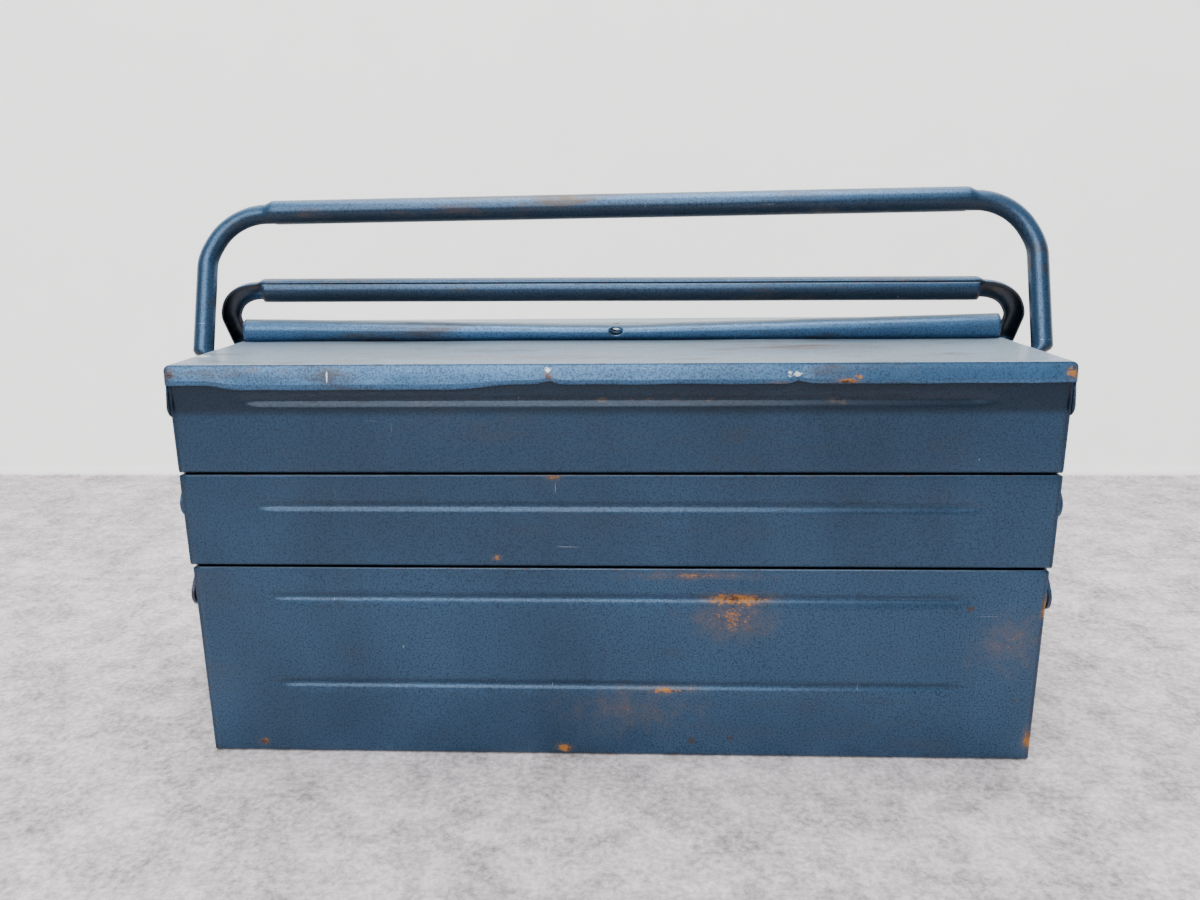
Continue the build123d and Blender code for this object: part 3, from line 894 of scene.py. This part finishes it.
def dent_front_lid(bm, low, high, ridge_foot, top, crown):
    """Lip flare, kinks and hanging edge, uneven top, sunken ridge."""
    for vert in bm.verts:
        x, y, z = vert.co
        down = min(max((top - z) / lip_height, 0), 1.0)
        on_lip = y < low.y + 0.5 * mm
        if y < low.y + lid_edge_radius + 0.01 * mm:
            vert.co.y += lip_flare * (1 - down) * smooth_step(low.y + flare_reach, low.y, y)
        if on_lip:
            hang = left_hang * smooth_step(*hang_start, x) * smooth_step(*hang_end, x)
            wave = lip_wave * noise.noise(Vector((x * 45, 1, 0)))
            kink = max(depth * bump_at(x, place, kink_width) for place, depth in lip_kinks)
            ripple = lip_ripple * (noise.noise(Vector((x * 60, z * 90, 2))) + 0.3)
            vert.co.z += (kink - hang - wave) * down
            vert.co.y += kink_push * kink * (0.3 + 0.7 * down) + ripple
            vert.co.y = max(vert.co.y, low.y)
        if z > top + 0.1 * mm and y > ridge_foot - 0.1 * mm:
            vert.co.z -= front_ridge_drop(x, high.x) * (z - top) / (crown - top)
        elif abs(z - top) < 0.05 * mm:
            uneven = 0.35 * mm * noise.noise(Vector((x * 16, y * 22, 4))) - 0.25 * mm
            vert.co.z += inside_border(x, y, low, high) * uneven


def dent_rear_lid(bm, low, high, ridge_foot, top, crown):
    """A little unevenness everywhere."""
    for vert in bm.verts:
        x, y, z = vert.co
        if abs(z - top) < 0.05 * mm:
            uneven = 0.4 * mm * (noise.noise(Vector((x * 14, y * 18, 9))) - 0.4)
            vert.co.z += inside_border(x, y, low, high) * uneven
        elif z > top + 0.1 * mm and y > ridge_foot - 0.1 * mm:
            slack = rear_ridge_slack + 0.5 * mm * noise.noise(Vector((x * 22, 0, 5)))
            vert.co.z -= slack * (z - top) / (crown - top)


def lid(node_name, dent):
    """One lid. The rear one is made as a front one and turned half a turn about the vertical."""
    rear = node_name.startswith("rear")
    low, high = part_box(node_name)
    if rear:
        low.y, high.y = -high.y, -low.y
    crown = high.z
    top = crown - ridge_height
    foot = high.y - ridge_width
    bm = lid_cover(low, high, foot + ridge_tuck, top)
    add_ridge(bm, foot, high.y, top, crown, high.x - ridge_margin)
    hinge = joint_place(node_name + "_opens")
    add_ears(bm, -abs(hinge.y), hinge.z, low.y, top - lip_height, high.x)
    dent(bm, low, high, foot, top, crown)
    hole = Vector((0, (foot + high.y) / 2, top + padlock_hole_height))
    round_hole(bm, hole, padlock_hole_radii, ridge_width)
    if rear:
        bmesh.ops.rotate(bm, verts=bm.verts, cent=(0, 0, 0), matrix=Matrix.Rotation(math.pi, 3, "Z"))
    return pressed_piece(bm, node_name)


lid("front_lid", dent_front_lid)
lid("rear_lid", dent_rear_lid)

# %% [markdown]
# ## The handles
# A handle is pressed from one strip: a channel for the legs and the bends, rolled shut along the grip so
# that it is round in the hand, with a seam left open near the top. Its feet are flattened and drilled
# for a rivet. Only its middle line needs numbers, so a flat grid is wrapped round that line: one way of
# the grid runs along the handle, the other round the sheet. Where the channel is open, faces go.

# %% Handle line
grip_radius = 6.75 * mm
leg_radius = 5.75 * mm
handle_sheet = 1.2 * mm
foot_face = 219.7 * mm
foot_radius = 7 * mm
foot_flat_end = 7 * mm
foot_rise_end = 17.5 * mm
shoulder_length = 5 * mm
sheet_turn = 353
seam_angle = 102
open_from, open_to = 22, 47
round_steps = 48
front_bend = 32.5 * mm
rear_bend = 24 * mm
handle_unevenness = 0.3 * mm


def handle_line(distance, leg_x, length, bend):
    """Place, outward direction and stage at a distance from the grip's middle, in the handle's own plane."""
    grip_half = leg_x - bend
    quarter = math.pi / 2 * bend
    if distance <= grip_half:
        return (distance, length), (0.0, 1.0)
    if distance <= grip_half + quarter:
        turn = (distance - grip_half) / bend
        away = (math.sin(turn), math.cos(turn))
        return (grip_half + bend * away[0], length - bend + bend * away[1]), away
    return (leg_x, length - bend - (distance - grip_half - quarter)), (1.0, 0.0)


def section_point(distance, angle, leg_x, length, bend):
    """A point of the sheet's outside: along X, up the leg and outwards from the box."""
    (along, up), (away_x, away_up) = handle_line(distance, leg_x, length, bend)
    grip_end = leg_x - bend
    closed = smooth_step(grip_end + 1 * mm, grip_end + 1 * mm - shoulder_length, distance)
    radius = leg_radius + (grip_radius - leg_radius) * closed
    sunk = (grip_radius - leg_radius) * (1 - closed) * smooth_step(0, 0.5, away_up)
    side = radius * math.sin(angle) - sunk
    out = radius * math.cos(angle)
    x = along + side * away_x
    s = up + side * away_up
    flat = smooth_step(foot_rise_end, foot_flat_end, up)
    if flat > 0:
        half_width = math.sqrt(max(foot_radius**2 - min(up, 0) ** 2, 0))
        wide = min(max(angle / math.radians(93), -1), 1)
        x += (foot_face - x) * flat
        out += (-half_width * wide - out) * flat
    return x, s, out


def half_handle(bm, leg_x, length, bend, stations):
    """The right-hand half of a handle, in its own plane: X, up the leg, outwards."""
    grid = bmesh.ops.create_grid(bm, x_segments=stations, y_segments=round_steps, size=0.5)
    total = leg_x - bend + math.pi / 2 * bend + length - bend + foot_radius
    grip_end = leg_x - bend - shoulder_length
    rows = {}
    for vert in grid["verts"]:
        station = round((vert.co.x + 0.5) * stations)
        turn = round((vert.co.y + 0.5) * round_steps)
        rows[vert] = (station, turn)
    open_faces = []
    for face in bm.faces:
        first = min(rows[v][0] for v in face.verts)
        around = min(rows[v][1] for v in face.verts)
        if first / stations * total >= grip_end and not open_from <= around < open_to:
            open_faces.append(face)
    for vert, (station, turn) in rows.items():
        angle = math.radians(seam_angle - sheet_turn + sheet_turn * turn / round_steps)
        vert.co = section_point(station / stations * total, angle, leg_x, length, bend)
    bmesh.ops.delete(bm, geom=open_faces, context="FACES")


# %% [markdown]
# ## Both handles
# The half is mirrored and joined, then laid into place: leant back from its rivets to the middle of the
# box, where the two grips rest one above the other. Old handles are never square, so each is pulled
# down a little at one side, most at the grip and not at all at the rivets.

# %% Handles


def pressed_handle(node_name, skew_left, skew_right, stations):
    """One handle between its CAD rivets and its CAD grip, a little out of square."""
    low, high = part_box(node_name)
    rear = node_name.startswith("rear")
    grip_height = high.z - grip_radius
    pivot = joint_place(node_name + "_swings")
    pivot_y, pivot_height = abs(pivot.y), pivot.z
    grip_y = (-low.y if rear else high.y) - grip_radius
    reach = pivot_y + grip_y
    rise = grip_height - pivot_height
    length = math.hypot(reach, rise)
    leg_x = high.x - leg_radius
    bend = rear_bend if rear else front_bend
    bm = bmesh.new()
    half_handle(bm, leg_x, length, bend, stations)
    bmesh.ops.mirror(bm, geom=bm.verts[:] + bm.edges[:] + bm.faces[:], axis="X", merge_dist=0.01 * mm)
    bmesh.ops.remove_doubles(bm, verts=bm.verts, dist=0.005 * mm)
    for vert in bm.verts:
        x, up, out = vert.co
        share = min(max(up / length, 0), 1)
        sideways = (x / leg_x + 1) / 2
        up += share * (skew_left + (skew_right - skew_left) * sideways)
        out += handle_unevenness * share * noise.noise(Vector((x * 9, 0, 7)))
        y = -pivot_y + (up * reach - out * rise) / length
        z = pivot_height + (up * rise + out * reach) / length
        vert.co = (x, -y if rear else y, z)
    bm.normal_update()
    bmesh.ops.recalc_face_normals(bm, faces=bm.faces)
    grip_faces = [f for f in bm.faces if abs(f.calc_center_median().x) < 50 * mm]
    if highest(grip_faces).normal.z < 0:
        bmesh.ops.reverse_faces(bm, faces=bm.faces)
    return pressed_piece(bm, node_name, handle_sheet)


pressed_handle("front_handle", -4.4 * mm, 0, 170)
pressed_handle("rear_handle", 0, -2.5 * mm, 150)

# %% [markdown]
# ## Floor, wall and light
# The box stands on mottled pale concrete in front of a plastered wall, in soft daylight. A large area
# light overhead gives the bright lids and lip and the darker fronts; a larger one far behind the camera
# keeps the fronts readable. The floor turns up into the wall in a tight curve, and both are clear when
# seen from the back, so that the box can also be looked at from behind. The wall glows a little, for the
# daylight that would reach it from the rest of a room.

# %% Stage
wall_distance = 0.44
cove_radius = 0.012
floor_tone = (0.50, 0.462, 0.472, 1)
wall_glow = 0.8
wall_tone = (0.93, 0.925, 0.90, 1)
wall_start = (0.0005, 0.004)
wall_mottle = 0.1
stage_half_width = 3.0


def stage_material():
    """Mottled concrete below, pale plaster above, and clear from the back."""
    material = bpy.data.materials.new("stage")
    material.use_nodes = True
    tree = material.node_tree
    shader = tree.nodes["Principled BSDF"]
    place = add_node(tree, "ShaderNodeTexCoord").outputs["Object"]
    height = add_node(tree, "ShaderNodeSeparateXYZ", {0: place}).outputs[2]
    grain = speckle(tree, place, 300, detail=5, roughness=0.75)
    cloud = speckle(tree, place, 22, detail=7, roughness=0.7)
    blotch = speckle(tree, place, 75, detail=6, roughness=0.75)
    mottle = ramp(tree, grain, 0.3, 0.7, -0.22, 0.22)
    mottle = maths(tree, "ADD", mottle, ramp(tree, cloud, 0.33, 0.67, -0.22, 0.22))
    mottle = maths(tree, "ADD", mottle, ramp(tree, blotch, 0.35, 0.65, -0.2, 0.2))
    share = ramp(tree, height, *wall_start, 1.0, wall_mottle)
    tone = maths(tree, "ADD", maths(tree, "MULTIPLY", mottle, share), 1.0)
    base = mix_colour(tree, ramp(tree, height, *wall_start), floor_tone, wall_tone)
    scaled = add_node(tree, "ShaderNodeVectorMath", {0: base, "Scale": tone}, operation="SCALE")
    tree.links.new(scaled.outputs[0], shader.inputs["Base Color"])
    tree.links.new(base, shader.inputs["Emission Color"])
    tree.links.new(ramp(tree, height, 0.0, 0.01, 0.0, wall_glow), shader.inputs["Emission Strength"])
    shader.inputs["Roughness"].default_value = 0.9
    relief = add_node(tree, "ShaderNodeBump", {"Height": grain, "Distance": 0.3 * mm, "Strength": 0.5})
    tree.links.new(relief.outputs[0], shader.inputs["Normal"])
    from_behind = add_node(tree, "ShaderNodeNewGeometry").outputs["Backfacing"]
    clear = add_node(tree, "ShaderNodeBsdfTransparent").outputs[0]
    one_sided = add_node(tree, "ShaderNodeMixShader", {0: from_behind, 1: shader.outputs[0], 2: clear})
    tree.links.new(one_sided.outputs[0], tree.nodes["Material Output"].inputs["Surface"])
    return material


def make_stage():
    """A floor that turns up into a wall, both 6 m wide."""
    bm = bmesh.new()
    outline = [(-stage_half_width, 0.0), (wall_distance - cove_radius, 0.0)]
    outline += arc_points((wall_distance - cove_radius, cove_radius), cove_radius, -90, 0, 8)[1:]
    outline.append((wall_distance, stage_half_width))
    faces = swept_along_x(bm, outline, stage_half_width, 1)
    facing(bm, faces, (0, 0, 1), lowest)
    mesh = bpy.data.meshes.new("floor_and_wall")
    bm.to_mesh(mesh)
    bm.free()
    mesh.shade_smooth()
    mesh.materials.append(stage_material())
    floor = bpy.data.objects.new("floor_and_wall", mesh)
    bpy.context.scene.collection.objects.link(floor)


def area_light(name, place, target, size, power, colour=(1, 1, 1)):
    """A square soft light that looks at a target."""
    data = bpy.data.lights.new(name, "AREA")
    data.size = size
    data.energy = power
    data.color = colour
    lamp = bpy.data.objects.new(name, data)
    bpy.context.scene.collection.objects.link(lamp)
    place = Vector(place)
    aim = (Vector(target) - place).to_track_quat("-Z", "Y")
    lamp.matrix_world = Matrix.Translation(place) @ aim.to_matrix().to_4x4()


make_stage()
area_light("sky", (0.0, -0.2, 1.9), (-0.05, 0.02, 0.1), 1.4, 50, (1.0, 0.99, 0.97))
area_light("window", (-0.5, -2.3, 1.75), (0, 0.1, 0.15), 2.2, 75, (0.97, 0.985, 1.0))
world = bpy.data.worlds.new("room")
world.use_nodes = True
world.node_tree.nodes["Background"].inputs["Color"].default_value = (0.80, 0.88, 1.0, 1)
world.node_tree.nodes["Background"].inputs["Strength"].default_value = 0.25
bpy.context.scene.world = world
print("stage and lights ready")
